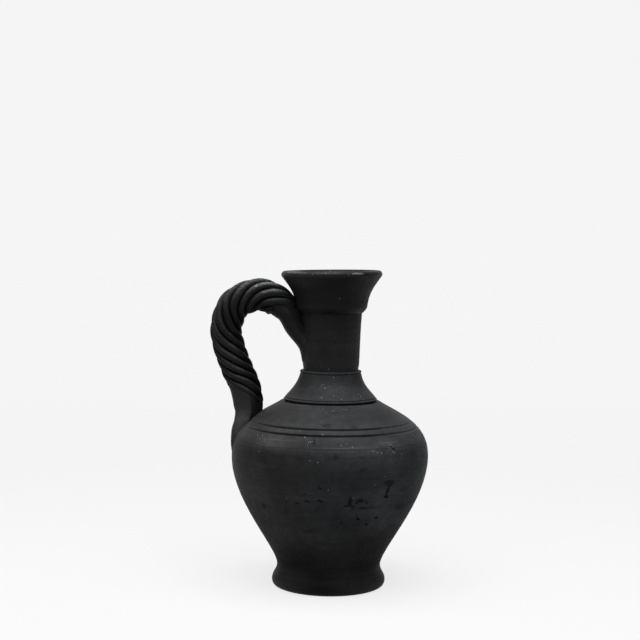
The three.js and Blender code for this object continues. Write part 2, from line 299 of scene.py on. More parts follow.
def cut_run(start, end, steps, line_depth=0.0):
    """The body's outside between two shares of its length, with its seam and its incised lines."""
    share = np.linspace(start, end, steps + 1)
    cut = dip(share, SEAM_SHARE, SEAM_WIDTH, SEAM_DEPTH)
    for place in LINE_SHARES:
        cut = cut + dip(share, place, LINE_WIDTH, line_depth)
    return into_wall(body_run(start, end, steps), cut)


def foot_outline():
    edge = bezier(
        (FOOT_RADIUS - FOOT_EDGE, 0),
        (FOOT_RADIUS - 0.3 * FOOT_EDGE, 0),
        (FOOT_RADIUS, 0.35 * FOOT_WIDEST),
        (FOOT_RADIUS, FOOT_WIDEST),
        18,
    )
    rise = WAIST_Z - FOOT_WIDEST
    splay = bezier(
        (FOOT_RADIUS, FOOT_WIDEST),
        (FOOT_RADIUS, FOOT_WIDEST + 0.35 * rise),
        (WAIST_RADIUS, WAIST_Z - 0.4 * rise),
        (WAIST_RADIUS, WAIST_Z),
        26,
    )
    inside = WAIST_RADIUS - WALL
    cove = bezier(
        (inside, WAIST_Z),
        (inside, FLOOR + 0.2 * (WAIST_Z - FLOOR)),
        (0.96 * inside, FLOOR),
        (0.8 * inside, FLOOR),
        14,
    )
    middle = 0.05 * FOOT_RADIUS
    ground = straight((middle, 0), edge[0], 8)
    floor = straight(cove[-1], (middle, FLOOR), 6)
    return joined((0, 0), ground, edge, splay, cove, floor, (0, FLOOR))


def bowl_outline():
    return joined(cut_run(0, SEAM_SHARE, 140), body_run(SEAM_SHARE, 0, 50, WALL))


def shoulder_outline(line_depth):
    outside = cut_run(SEAM_SHARE, 1, 240, line_depth)[:-7]
    notch = [
        (COLLAR_RADIUS - 0.2 * COLLAR_GROOVE, COLLAR_Z - 0.5 * COLLAR_GROOVE),
        (COLLAR_RADIUS - COLLAR_GROOVE, COLLAR_Z - 0.3 * COLLAR_GROOVE),
        (COLLAR_RADIUS - 1.1 * COLLAR_GROOVE, COLLAR_Z),
    ]
    land = straight(notch[-1], (COLLAR_RADIUS - 2 * WALL, COLLAR_Z), 8)
    return joined(outside, notch, land, body_run(0.97, SEAM_SHARE, 40, WALL))


def collar_curve():
    narrowing = COLLAR_RADIUS - BEAD_RADIUS
    return bezier(
        (COLLAR_RADIUS - RIDGE_STEP, COLLAR_Z + COLLAR_RIDGE + RIDGE_LINE),
        (COLLAR_RADIUS - 0.4 * narrowing, COLLAR_Z + 0.36 * COLLAR_RISE),
        (BEAD_RADIUS + 0.15 * narrowing, COLLAR_Z + 0.588 * COLLAR_RISE),
        (BEAD_RADIUS, BEAD_Z + 0.02 * COLLAR_RISE),
        60,
    )


def collar_outline():
    under = (COLLAR_RADIUS - COLLAR_GROOVE, COLLAR_Z)
    ridge = bezier(
        (COLLAR_RADIUS - 0.3 * RIDGE_STEP, COLLAR_Z - 0.1 * COLLAR_RIDGE),
        (COLLAR_RADIUS + 0.3 * RIDGE_STEP, COLLAR_Z + 0.3 * COLLAR_RIDGE),
        (COLLAR_RADIUS + 0.4 * RIDGE_STEP, COLLAR_Z + 0.85 * COLLAR_RIDGE),
        (COLLAR_RADIUS - RIDGE_STEP - RIDGE_LINE, COLLAR_Z + COLLAR_RIDGE),
        14,
    )
    flare = collar_curve()
    notch = bezier(
        flare[-1],
        (BEAD_RADIUS - BEAD_LINE, BEAD_Z + 0.2 * BEAD_RISE),
        (BEAD_RADIUS - BEAD_LINE, BEAD_Z + 0.36 * BEAD_RISE),
        (BEAD_RADIUS, BEAD_Z + 0.5 * BEAD_RISE),
        10,
    )
    bead = bezier(
        (BEAD_RADIUS, BEAD_Z + 0.5 * BEAD_RISE),
        (BEAD_RADIUS + 0.2 * BEAD_LINE, BEAD_TOP_Z - 0.1 * BEAD_RISE),
        (BEAD_RADIUS - 0.3 * BEAD_LINE, BEAD_TOP_Z),
        (NECK_RADIUS - BEAD_LINE, BEAD_TOP_Z - 0.1 * BEAD_RISE),
        14,
    )
    bore = NECK_RADIUS - NECK_WALL
    inside = bezier(
        (bore, BEAD_TOP_Z),
        (bore, BEAD_Z - 0.4 * COLLAR_RISE),
        (COLLAR_RADIUS - 3 * WALL, COLLAR_Z + 0.35 * COLLAR_RISE),
        (COLLAR_RADIUS - 2 * WALL, COLLAR_Z),
        24,
    )
    return joined(under, ridge, flare, notch, bead, inside)


def neck_curve():
    widening = NECK_TOP_RADIUS - NECK_RADIUS
    return bezier(
        (NECK_RADIUS, BEAD_TOP_Z),
        (NECK_RADIUS + 0.16 * widening, BEAD_TOP_Z + 0.32 * NECK_RISE),
        (NECK_RADIUS + 0.32 * widening, BEAD_TOP_Z + 0.71 * NECK_RISE),
        (NECK_TOP_RADIUS, STEP_Z),
        80,
    )


def neck_outline():
    side = neck_curve()
    sunk = np.exp(-(((side[:, 1] - BEAD_TOP_Z) / BEAD_RISE) ** 2))
    outside = side - np.stack([BEAD_LINE * sunk, 0 * sunk], axis=1)
    return joined(outside, side[::-1][::4] - [NECK_WALL, 0])


def mouth_curve():
    widening = RIM_RADIUS - STEP_RADIUS
    return bezier(
        (STEP_RADIUS, STEP_Z + STEP_BEVEL),
        (STEP_RADIUS + 0.12 * widening, STEP_Z + 0.52 * MOUTH_RISE),
        (STEP_RADIUS + 0.34 * widening, STEP_Z + 0.66 * MOUTH_RISE),
        (RIM_RADIUS - LIP_LINE, LIP_Z),
        70,
    )


def mouth_outline():
    flare = mouth_curve()
    ledge = NECK_TOP_RADIUS + STEP_LEDGE
    step = bezier(
        (NECK_TOP_RADIUS + 0.3 * STEP_LEDGE, STEP_Z),
        (ledge, STEP_Z + 0.1 * STEP_BEVEL),
        (STEP_RADIUS - 0.4 * STEP_LEDGE, STEP_Z + 0.6 * STEP_BEVEL),
        (STEP_RADIUS, STEP_Z + STEP_BEVEL),
        16,
    )
    inner = into_wall(flare, NECK_WALL)
    inside = inner[inner[:, 0] < RIM_RADIUS - LIP_WIDTH][::-1]
    brim = (RIM_RADIUS - LIP_WIDTH, LIP_Z)
    bore = (NECK_TOP_RADIUS - NECK_WALL, STEP_Z)
    return joined((NECK_TOP_RADIUS, STEP_Z), step, flare, brim, inside, bore)


def lip_outline():
    inner = RIM_RADIUS - LIP_WIDTH
    under = bezier(
        (RIM_RADIUS - LIP_LINE, LIP_Z),
        (RIM_RADIUS - 0.2 * LIP_LINE, LIP_Z + 0.1 * LIP_RISE),
        (RIM_RADIUS, LIP_Z + 0.2 * LIP_RISE),
        (RIM_RADIUS, LIP_Z + 0.3 * LIP_RISE),
        6,
    )
    roll = bezier(
        (RIM_RADIUS, LIP_Z + 0.3 * LIP_RISE),
        (RIM_RADIUS + 0.02 * LIP_WIDTH, RIM_Z + 0.06 * LIP_RISE),
        (inner, RIM_Z + 0.28 * LIP_RISE),
        (inner, LIP_Z),
        36,
    )
    return joined(under, roll)


def vessel_radius(height):
    """Outside radius of the turned vessel at a height, without its small lines."""
    curve = np.vstack([BODY_POINTS, collar_curve(), neck_curve(), mouth_curve()])
    return np.interp(height, curve[:, 1], curve[:, 0])


# Meshes

def hand_thrown(points):
    """The slight wander of a hand-thrown form: out of round, ridged by fingers, leaning at the mouth."""
    x, y, z = points.T
    turn = np.arctan2(y, x)
    radius = np.hypot(x, y)
    wander = OVAL_SWELL * np.cos(2 * turn + 0.4 + 5 * z)
    wander += THREE_SIDED_SWELL * np.cos(3 * turn - 12 * z)
    wander += COARSE_RIDGE * np.sin(COARSE_WAVES * z + 0.5 * np.cos(turn))
    wander += FINE_RIDGE * np.sin(FINE_WAVES * z + turn)
    wander *= np.minimum(radius / NECK_RADIUS, 2) * smoothstep(z, 0, EVEN_FOOT)
    moved = points.copy()
    moved[:, 0] += np.cos(turn) * wander + np.interp(z, *DRIFT.T)
    moved[:, 1] += np.sin(turn) * wander
    moved[:, 2] += (MOUTH_LEAN * x + MOUTH_TILT * y) * smoothstep(z, STEP_Z, RIM_Z)
    return moved


def band(first, second):
    """Quads between two rings of points, given as their indices."""
    count = len(first)
    return [
        (first[j], first[(j + 1) % count], second[(j + 1) % count], second[j]) for j in range(count)
    ]


def turned(outline, worn_outline=None):
    """Points and faces of an outline turned round the Z axis; it closes on itself or ends on the axis.

    A worn outline, point for point the same otherwise, takes over where the incised lines are worn away.
    """
    angles = full_turn(AROUND)
    capped = outline[0][0] == 0
    rings = outline[1:-1] if capped else outline
    radius, height = (np.repeat(rings[:, k][:, None], AROUND, axis=1) for k in (0, 1))
    if worn_outline is not None:
        wear = np.interp(np.cos(angles), *LINE_WEAR.T)
        radius = radius + wear * (worn_outline[:, 0][:, None] - radius)
        height = height + wear * (worn_outline[:, 1][:, None] - height)
    points = np.stack([radius * np.cos(angles), radius * np.sin(angles), height], axis=2).reshape(-1, 3)
    index = np.arange(len(rings) * AROUND).reshape(len(rings), AROUND).tolist()
    faces = []
    for low, high in zip(index, index[1:]):
        faces += band(low, high)
    if capped:
        foot, top = len(points), len(points) + 1
        points = np.vstack([points, [0, 0, outline[0][1]], [0, 0, outline[-1][1]]])
        for j in range(AROUND):
            after = (j + 1) % AROUND
            faces.append((foot, index[0][after], index[0][j]))
            faces.append((top, index[-1][j], index[-1][after]))
    else:
        faces += band(index[-1], index[0])
    return hand_thrown(points), faces


def tube(points):
    """Points and faces of a closed tube from a grid of rings, with flat ends."""
    rings, sides = points.shape[:2]
    index = np.arange(rings * sides).reshape(rings, sides).tolist()
    faces = [tuple(index[0]), tuple(reversed(index[-1]))]
    for low, high in zip(index, index[1:]):
        faces += [tuple(reversed(face)) for face in band(low, high)]
    return points.reshape(-1, 3), faces


def add_object(name, data):
    """A new object in the scene."""
    made = bpy.data.objects.new(name, data)
    bpy.context.scene.collection.objects.link(made)
    return made


def add_piece(name, points, faces, node, slot, material, painted_shade=None):
    """A clay piece that stands for a solid of the frame, with painted shade at its points if it has any."""
    mesh = bpy.data.meshes.new(name)
    mesh.from_pydata(points.tolist(), [], faces)
    mesh.update()
    mesh.polygons.foreach_set("use_smooth", [True] * len(mesh.polygons))
    mesh.set_sharp_from_angle(angle=math.radians(SHARP_ANGLE))
    mesh.materials.append(material)
    if painted_shade is not None:
        mesh.attributes.new("painted_shade", "FLOAT", "POINT").data.foreach_set("value", painted_shade.ravel())
    piece = add_object(name, mesh)
    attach(piece, "root")
    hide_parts(node)


# Handle

# Points of the handle's line, as reach from the axis and height
HANDLE_POINTS = np.array([
    (0.8 * NECK_RADIUS, STEP_Z - 0.852 * NECK_RISE),
    (0.875 * NECK_RADIUS, STEP_Z - 0.587 * NECK_RISE),
    (1.22 * NECK_RADIUS, STEP_Z - 0.2545 * NECK_RISE),
    (0.43 * HANDLE_REACH, STEP_Z + 0.246 * HANDLE_CREST),
    (0.67 * HANDLE_REACH, STEP_Z + HANDLE_CREST),
    (0.907 * HANDLE_REACH, STEP_Z + 0.431 * HANDLE_CREST),
    (HANDLE_REACH, STEP_Z - 0.31 * NECK_RISE),
    (0.928 * HANDLE_REACH, STEP_Z - 0.841 * NECK_RISE),
    (0.868 * BELLY_RADIUS, COLLAR_Z + 0.42 * COLLAR_RISE),
    (0.843 * BELLY_RADIUS, COLLAR_Z - 0.04 * SHOULDER_RISE),
    (0.847 * BELLY_RADIUS, COLLAR_Z - 0.245 * SHOULDER_RISE),
    (0.89 * BELLY_RADIUS, COLLAR_Z - 0.435 * SHOULDER_RISE),
    (0.943 * BELLY_RADIUS, BELLY_Z + 0.385 * SHOULDER_RISE),
    (0.984 * BELLY_RADIUS, BELLY_Z + 0.17 * SHOULDER_RISE),
    (0.984 * BELLY_RADIUS, BELLY_Z - 0.064 * BOWL_RISE),
]) * (-1, 1)

# Half-widths along that line as shares of the rope's radius: to the sides, outwards and into the finger gap
HALF_SIDE = (
    (0, 0.55), (0.055, 0.76), (0.13, 0.88), (0.2, 0.92), (0.243, 0.96), (0.6, 0.97), (0.75, 0.95),
    (0.805, 0.9), (0.8525, 0.95), (0.89, 0.74), (0.923, 0.55), (0.955, 0.34), (1, 0.12),
)
HALF_OUTER = (
    (0, 0.39), (0.055, 0.36), (0.13, 0.667), (0.205, 0.85), (0.25, 0.98), (0.32, 1.04), (0.45, 1.02),
    (0.53, 0.965), (0.62, 0.975), (0.72, 0.975), (0.76, 0.95), (0.8, 0.88), (0.83, 0.74),
    (0.8525, 0.62), (0.8925, 0.45), (0.93, 0.23), (0.96, 0.1), (1, 0.04),
)
HALF_INNER = (
    (0, 0.39), (0.055, 0.5), (0.13, 0.74), (0.2, 0.84), (0.235, 0.98), (0.3, 0.97), (0.45, 0.98),
    (0.6, 0.99), (0.7, 0.98), (0.76, 0.97), (0.805, 0.93), (0.8525, 0.6), (0.8925, 0.36), (0.94, 0.2),
    (1, 0.1),
)


def centripetal(points):
    """Dense points of a smooth curve through the given ones, spaced by the root of their distances."""
    ends = [2 * points[0] - points[1], *points, 2 * points[-1] - points[-2]]
    t = np.linspace(0, 1, LINE_STEPS, endpoint=False)[:, None]
    runs = []
    for before, start, end, after in zip(ends, ends[1:], ends[2:], ends[3:]):
        pairs = ((before, start), (start, end), (end, after))
        a, b, c = (math.sqrt(math.dist(p, q)) for p, q in pairs)
        leave = b * ((start - before) / a - (end - before) / (a + b) + (end - start) / b)
        arrive = b * ((end - start) / b - (after - start) / (b + c) + (after - end) / c)
        runs.append(cubic(t, start, end, leave, arrive))
    return np.vstack([*runs, points[-1:]])


LINE = centripetal(HANDLE_POINTS)
LINE_SHARE = length_shares(LINE)[0]
LINE_ALONG = np.gradient(LINE, LINE_SHARE, axis=0)
LINE_ALONG /= np.linalg.norm(LINE_ALONG, axis=1, keepdims=True)


def on_line(share, side, out):
    """Points beside the handle's line: side is towards the viewer, out is away from the finger gap."""
    x, z = (np.interp(share, LINE_SHARE, LINE[:, k]) for k in (0, 1))
    along_x, along_z = (np.interp(share, LINE_SHARE, LINE_ALONG[:, k]) for k in (0, 1))
    return np.stack([x + out * along_z, -side, z - out * along_x], axis=-1)


def handle_section(share, angle):
    """Offsets of the handle's surface from its line: towards the viewer, and away from the finger gap."""
    along, across = np.cos(angle), np.sin(angle)
    tail = smoothstep(share, *TAIL_SHAPED)
    root = 1 - smoothstep(share, *ROOT_SHAPED)
    power = 1 + TAIL_PINCH * tail * (across < 0) + ROOT_PINCH * root * (across > 0)
    along = np.sign(along) * np.abs(along) ** power
    across = np.sign(across) * np.abs(across) ** power
    out = np.where(across > 0, stations(share, HALF_OUTER), stations(share, HALF_INNER)) * across
    out = out - TAIL_SKEW * along**2 * tail * (1 - smoothstep(share, *TAIL_LEVEL))
    return ROPE_RADIUS * stations(share, HALF_SIDE) * along, ROPE_RADIUS * out


def loft(share, angle, scale):
    """Points of a form round the handle's line, wrapped round the body below the collar."""
    side, out = handle_section(share, angle)
    points = on_line(share, side * scale, out * scale)
    radius = -points[..., 0]
    wrap = smoothstep(COLLAR_Z - points[..., 2], 0, 0.6 * SHOULDER_RISE)
    turn = points[..., 1] / radius
    points[..., 0] = -radius * (1 - wrap * (1 - np.cos(turn)))
    return points


def off_vessel(points):
    """How far points stand off the vessel's outside."""
    return np.hypot(points[..., 0], points[..., 1]) - vessel_radius(points[..., 2])


def smeared(points, width, full, none):
    """The foot of a handle's end, spread round the vessel where it is pressed on, below a height."""
    radius = np.hypot(points[..., 0], points[..., 1])
    below = 1 - smoothstep(points[..., 2], full, none)
    near = np.clip(1 - off_vessel(points) / SMEAR_RISE, 0, 1) ** 4 * below
    turn = np.arctan2(points[..., 1], -points[..., 0])
    turn = turn + np.sign(turn) * near * width / radius
    return np.stack([-radius * np.cos(turn), radius * np.sin(turn), points[..., 2]], axis=-1)


def rope_turn(share):
    """Angle that the strands have turned at a share of the handle's line, through the measured turns."""
    part = (share - ROPE_FROM) / (ROPE_TO - ROPE_FROM)
    places = np.linspace(0, 1, len(ROPE_TURNS))
    slope = np.gradient(np.array(ROPE_TURNS), places)
    before = np.minimum(part, 0) * slope[0]
    after = np.maximum(part - 1, 0) * slope[-1]
    return 2 * math.pi * (stations(part, list(zip(places, ROPE_TURNS))) + before + after)


def waves(share, number, table):
    """Sum of a table's waves along a strand."""
    return sum(size * np.sin(count * share + phase * number) for size, count, phase in table)


def strand_edge(number, share):
    """Angle of the groove before a strand, with the small wander of a twist made by hand."""
    lay = STRAND_PHASE + 2 * math.pi * (number - 0.5) / STRANDS
    return lay - rope_turn(share) + waves(share, number % STRANDS, STRAND_WANDER)


def strand_start(angle):
    """Share of the line where the strands come out of the root: later on the side of the finger gap."""
    return START_PLACE + START_DELAY * smoothstep(-np.sin(angle), -0.4, 0.3)


def strand_end(angle):
    """Share of the line where the strands stop: sooner on the outside than in the finger gap."""
    return END_PLACE - END_LEAN * np.maximum(np.sin(angle), -0.75)


def strand_grid(number):
    """Points and painted shade of a strand: a lobe on the rope that fades into the root and the tail."""
    share = np.linspace(*STRAND_SPAN, ROPE_STEPS + 1)[:, None]
    low, high = strand_edge(number, share), strand_edge(number + 1, share)
    across = np.sin(np.linspace(-math.pi / 2, math.pi / 2, STRAND_SIDES))[None, :]
    outer = (low + high) / 2 + across * (high - low) / 2
    start, end = strand_start(outer), strand_end(outer)
    valley = 1 - np.sqrt(1 - across**2)
    merging = smoothstep(share, end - END_FADE, end + 0.01)
    merging = merging + 1 - smoothstep(share, start, start + START_FADE)
    lobe = FULL_SHARE + waves(share, number, STRAND_PLUMP)
    lobe = lobe - GROOVE_SHARE * (1 - 0.6 * merging) * valley
    lobe = lobe - SUNK_SHARE * (1 - smoothstep(share, start - 0.02, start + 0.01))
    lobe = lobe - STRAND_DROP * smoothstep(share, end - END_FADE, end)
    lobe = lobe - SUNK_SHARE * smoothstep(share, end - 0.01, end + 0.03)
    inset = 0.1 * (high - low)
    inner = np.concatenate([high - inset, low + inset], axis=1)
    angle = np.concatenate([outer, inner], axis=1)
    scale = np.concatenate([lobe, np.full(inner.shape, STRAND_BOTTOM)], axis=1)
    # Painted shade: in the grooves, on the side towards the finger gap, by the root, and on the hidden
    # inner faces
    groove = (1 - 0.7 * merging) * valley
    gap_side = GAP_SHADE * smoothstep(-np.sin(outer), 0.1, 0.9)
    by_root = ROOT_SHADE * (1 - smoothstep(share, start, start + 0.08))
    painted_shade = np.maximum(np.maximum(groove, gap_side), by_root)
    painted_shade = np.concatenate([painted_shade, np.ones(inner.shape)], axis=1)
    return loft(np.broadcast_to(share, angle.shape), angle, scale), painted_shade


def end_places(span, steps):
    """Shares and angles of the grid of a smooth form along the handle's line."""
    share = np.linspace(*span, steps + 1)[:, None]
    return np.broadcast_arrays(share, full_turn(END_SIDES)[None, :])


def root_cover(share, angle):
    """The root's smooth clay sinks under the strands where they come out of it."""
    edge = strand_start(angle)
    dipping = ROOT_DIP * smoothstep(share, edge - 0.05, edge)
    return FULL_SHARE - dipping - SUNK_SHARE * smoothstep(share, edge, edge + 0.05)


def tail_cover(share, angle):
    """The tail comes out from under the strands, almost flush with them."""
    edge = strand_end(angle)
    rising = TAIL_RISE * smoothstep(share, edge - 0.06, edge)
    return TAIL_HIDDEN + rising + TAIL_SWELL * smoothstep(share, edge, edge + 0.05)


def tail_shade(points, share, angle):
    """Painted shade on the tail's side towards the finger gap and below the strands, and a painted shadow
    in its crease.
    """
    gap_side = smoothstep(-np.sin(angle), 0, 0.25) * (1 - smoothstep(share, 0.84, 0.9))
    crease = (1 - smoothstep(off_vessel(points), 0, CREASE)) * (1 - smoothstep(share, 0.86, 0.92))
    below_strands = TAIL_SHADE * (1 - smoothstep(share - strand_end(angle), 0, 0.06))
    return np.maximum(np.maximum(gap_side, crease), below_strands)


# Materials

# Tints of the clay
NEUTRAL = (1, 1, 1)
BLUISH = (0.935, 1.005, 1.075)
GREENISH = (0.965, 1.035, 1)
SMUDGE_TINT = (0.75, 1, 1.2)

# Brightness of the clay by height in millimetres: dark foot and mouth, paler shoulder and collar; partly
# painted light and shade, darker on the neck under the mouth's overhang, a painted highlight on the bead's
# top and on the step's bevel, and a painted shadow at the neck's base
TONES_WITH_PAINTED_SHADE = (
    (0, 0.021), (14, 0.022), (25, 0.0295), (39, 0.0375), (57, 0.044), (79, 0.0555), (90, 0.042),
    (96, 0.0345), (103, 0.032), (113, 0.0325), (118.5, 0.043), (128, 0.045), (136, 0.0465),
    (142, 0.042), (148, 0.044), (154, 0.0455), (161, 0.041), (168.5, 0.036), (170.5, 0.05),
    (172.5, 0.026), (190, 0.0225), (215, 0.0155), (218, 0.0165), (221, 0.0155), (225, 0.0125),
    (243, 0.0125), (250, 0.018),
)

# Brightness of the marks on the clay, among them painted shade, painted shadow and painted highlights
PAINTED_SHADE_TONE = 0.004
SMUDGE_AND_SHADOW_TONE = 0.0024
RUBBED_TONE = 0.12
SPECK_TONE = 0.35
LARGE_SPECK_TONE = 0.24
WORN_HIGHLIGHT_TONE = 0.16
ROPE_TONE = 0.0155
ROPE_GROOVE_TONE = 0.0025
ROPE_WORN_HIGHLIGHT_TONE = 0.13
ROPE_CHIP_HIGHLIGHT_TONE = 0.32

# Strength of the painted shade and of the rubbed lines, and shares of the grains that show as specks
PAINTED_SHADE_COVER = 0.6
RUBBED_COVER = 0.7
FEW_SPECKS = 0.001
MANY_SPECKS = 0.015
PATCH_SPECKS = 0.5
NECK_SPECKS = 0.2

# Half the spread of each noise that counts, and how much it changes the brightness
CLOUD_CHANGE = (0.22, 0.2)
MOTTLE_CHANGE = (0.25, 0.16)
GRAIN_CHANGE = (0.25, 0.14)
BAND_CHANGE = (0.2, 0.08)

# Scale of the grains, half-size of a large speck in millimetres, and the smudges' ragged edges
SPECK_CELLS = 520
LARGE_SPECK = 0.42
RAGGED_SCALE = 420
RAGGED_REACH = 2.4 * MM

# Depth of the fine relief
MOTTLE_DEPTH = 0.25 * MM
ROPE_MOTTLE_DEPTH = 0.2 * MM
GRAIN_DEPTH = 0.06 * MM
STREAK_DEPTH = 0.05 * MM

# Change of roughness over the clay, its loss on glossy spots, and share of the shine left above the foot
ROUGH_CHANGE = 0.07
GLOSS_SMOOTHING = 0.36
WAIST_SHINE = 0.15

# Places from front to back between which the marks and the patches of painted light and shade of the
# viewer's side end
MARKS_END = (-10 * MM, 0)
PATCHES_END = (-20 * MM, 30 * MM)

# Dark smudges on the side towards the viewer, and two marks of painted shadow under the mouth's step: place
# across and up, half-sizes, lean in degrees and strength
SMUDGES_AND_STEP_SHADOW = (
    (44.7, 92.8, 4.6, 1.7, 0, 0.66), (44.5, 90.6, 2.6, 1.7, 0, 0.68), (43.3, 85.8, 1.2, 5, 16, 0.78),
    (42.3, 81.2, 1.7, 1.5, 0, 0.9), (14.9, 79.2, 1.7, 4.6, 8, 0.7), (12, 75.9, 1.9, 0.8, 0, 0.8),
    (16, 75.5, 2.6, 1.2, 20, 0.6), (22.4, 79.7, 2.8, 1.5, 0, 0.7), (20.2, 78.1, 1.5, 0.8, 30, 0.7),
    (27.3, 78, 0.7, 1.6, 0, 0.7), (25.1, 73.4, 3.6, 1, 0, 0.6), (32, 73.5, 4.5, 0.8, 0, 0.35),
    (21.2, 64.8, 1.3, 1.2, 0, 0.85), (20, 67.5, 1, 1.2, 0, 0.45), (35, 64.6, 1.9, 1.1, 0, 0.75),
    (8.9, 61.9, 1.1, 1.1, 0, 0.66), (27.8, 59.6, 1.1, 1.1, 0, 0.75), (-7.4, 79.8, 2.3, 0.9, 12, 0.8),
    (-16.8, 78.9, 2.8, 0.9, 0, 0.65), (-24, 77, 2.6, 0.9, 15, 0.4), (-7.7, 89.4, 1.3, 0.9, 0, 0.8),
    (-19.2, 84.7, 1.6, 0.8, 10, 0.4), (24.3, 103.5, 3.6, 1.8, 0, 0.35), (57, 85.3, 4, 3, 0, 0.35),
    (53.7, 70.9, 5, 3.5, 20, 0.3), (-50, 71, 2, 2.2, 0, 0.5), (3.8, 112.9, 2.2, 2.2, 0, 0.35),
    (-3.1, 134.2, 4.2, 1.6, 0, 0.4), (17.4, 133.4, 3, 1.2, 0, 0.35), (-16.2, 53.7, 6, 1.8, 0, 0.3),
    (49, 53.7, 5, 3, 40, 0.3), (-12.4, 123, 0.9, 2.4, 0, 0.6), (44.9, 119, 1, 1, 0, 0.8),
    # The marks at (-3, 217.7) and (-7, 217.2) are painted shadow under the mouth's step
    (47.3, 117.4, 1, 0.9, 0, 0.9), (38.5, 118, 5.5, 2.2, 0, 0.3), (-3, 217.7, 6.5, 0.7, 0, 0.6),
    (-7, 217.2, 1.4, 1, 0, 0.6), (2.1, 194.8, 1, 2, 0, 0.3),
)

# Glossy worn spots on the lip, painted paler as a highlight too, in the terms of the smudges
WORN_HIGHLIGHT_SPOTS = ((19.5, 247.9, 5, 0.75, 0, 1), (-4, 248.2, 13, 1, 0, 0.12), (-27, 248, 9, 1, 0, 0.3))

# Broad patches of painted light and shade, paler where the clay is lit and darker where it is shaded or its
# sheen is toned down: place across and up, half-sizes, and brightness against the clay round them
LIGHT_AND_SHADE_PATCHES = (
    (34, 112, 36, 14, 1.35), (-52, 80, 15, 24, 1.35), (-44, 122, 20, 7, 1.5), (48, 121, 20, 8, 1.15),
    (-39, 141, 22, 9, 0.62), (42, 139, 20, 9, 0.6), (22, 156, 16, 9, 1.1), (-22, 160, 9, 8, 0.72),
    (24, 194, 14, 30, 1.45), (-38, 8, 16, 12, 1.5), (-5, 6, 24, 15, 0.24), (-26, 243, 26, 7, 2.1),
    (42, 64, 20, 20, 1.6), (44, 94, 24, 16, 1.3), (-44, 44, 18, 26, 1.5), (-73, 130, 12, 14, 1.85),
)

# Places across and up of the largest pale specks on the side towards the viewer
PALE_SPECKS = (
    (31.5, 116.6), (34.8, 115.6), (38, 115.4), (46.7, 115.3), (48.2, 114.4), (44.9, 120.5), (16, 120.1),
    (-19.2, 126.2), (-15, 123.4), (-6.2, 128.5), (-4.6, 159.5), (2.1, 167.3), (14.4, 169.6),
    (-7.3, 152.5), (33.6, 91.7), (17.2, 82.1), (-9.4, 109), (-1.4, 88.6), (5.6, 228.5),
)

# Patches with many pale mineral specks, with fine rubbed lines, and on the rope the most worn one, painted
# paler as a highlight too, and one of painted shade: place across and up, and half-sizes
SPECK_PATCHES = (
    (39.9, 117.5, 9, 4), (3, 151.5, 15, 3), (0, 160, 8, 4), (4, 144, 12, 2), (-8, 139, 5, 3),
    (2, 129.5, 8, 3), (-54, 123, 5, 4), (-12, 123.5, 6, 4), (-4, 248.8, 46, 3),
)
RUBBED_PATCHES = ((-44, 121, 14, 5), (8, 119.8, 26, 1.6), (44, 121, 10, 3))
ROPE_WEAR_AND_HIGHLIGHT = (-55, 236, 13, 5.5)
ROPE_SHADE = (-81, 211, 11, 20)


def grey(level, tint=NEUTRAL):
    """A grey with a slight tint."""
    return (level * tint[0], level * tint[1], level * tint[2], 1)


WHITE = grey(1)


class Shader:
    """A node material, put together step by step in the object's own coordinates."""

    def __init__(self, name):
        self.material = bpy.data.materials.new(name)
        self.material.use_nodes = True
        self.tree = self.material.node_tree
        self.surface = self.tree.nodes["Principled BSDF"]
        self.place = self.tree.nodes.new("ShaderNodeTexCoord").outputs["Object"]

    def node(self, kind, inputs=(), **settings):
        made = self.tree.nodes.new(kind)
        for key, value in settings.items():
            setattr(made, key, value)
        for key, value in dict(inputs).items():
            self.put(made.inputs[key], value)
        return made

    def put(self, socket, value):
        if isinstance(value, bpy.types.NodeSocket):
            self.tree.links.new(value, socket)
        else:
            socket.default_value = value

    def give(self, socket, value):
        """Sets or links a socket of the surface."""
        self.put(self.surface.inputs[socket], value)

    def axis(self, letter):
        return self.node("ShaderNodeSeparateXYZ", {0: self.place}).outputs[letter]

    def painted_shade(self):
        return self.node("ShaderNodeAttribute", attribute_name="painted_shade").outputs["Fac"]

    def noise(self, scale, detail, roughness, stretch=None, distortion=0.0):
        vector = self.place
        if stretch:
            vector = self.node("ShaderNodeMapping", {"Vector": vector, "Scale": stretch}).outputs[0]
        inputs = {"Vector": vector, "Scale": scale, "Detail": detail, "Roughness": roughness}
        inputs["Distortion"] = distortion
        return self.node("ShaderNodeTexNoise", inputs).outputs[0]

    def ramp(self, value, low, high, bottom=0.0, top=1.0):
        inputs = {"Value": value, "From Min": low, "From Max": high, "To Min": bottom, "To Max": top}
        return self.node("ShaderNodeMapRange", inputs, interpolation_type="SMOOTHSTEP").outputs[0]

    def varied(self, noise, spread, change):
        """A brightness about 1 from a noise about a half."""
        return self.ramp(noise, 0.5 - spread, 0.5 + spread, 1 - change, 1 + change)

    def math(self, operation, first, *others):
        for other in others:
            inputs = {0: first, 1: other}
            first = self.node("ShaderNodeMath", inputs, operation=operation).outputs[0]
        return first

    def times(self, *values):
        return self.math("MULTIPLY", *values)

    def most(self, *values):
        return self.math("MAXIMUM", *values)

    def vector(self, operation, inputs, output=0):
        return self.node("ShaderNodeVectorMath", inputs, operation=operation).outputs[output]

    def mix(self, factor, first, second):
        made = self.node("ShaderNodeMix", {0: factor, 6: first, 7: second}, data_type="RGBA")
        return made.outputs[2]

    def bump(self, height, depth, below=None):
        inputs = {"Height": height, "Distance": depth, "Strength": 1.0}
        if below:
            inputs["Normal"] = below
        return self.node("ShaderNodeBump", inputs).outputs[0]


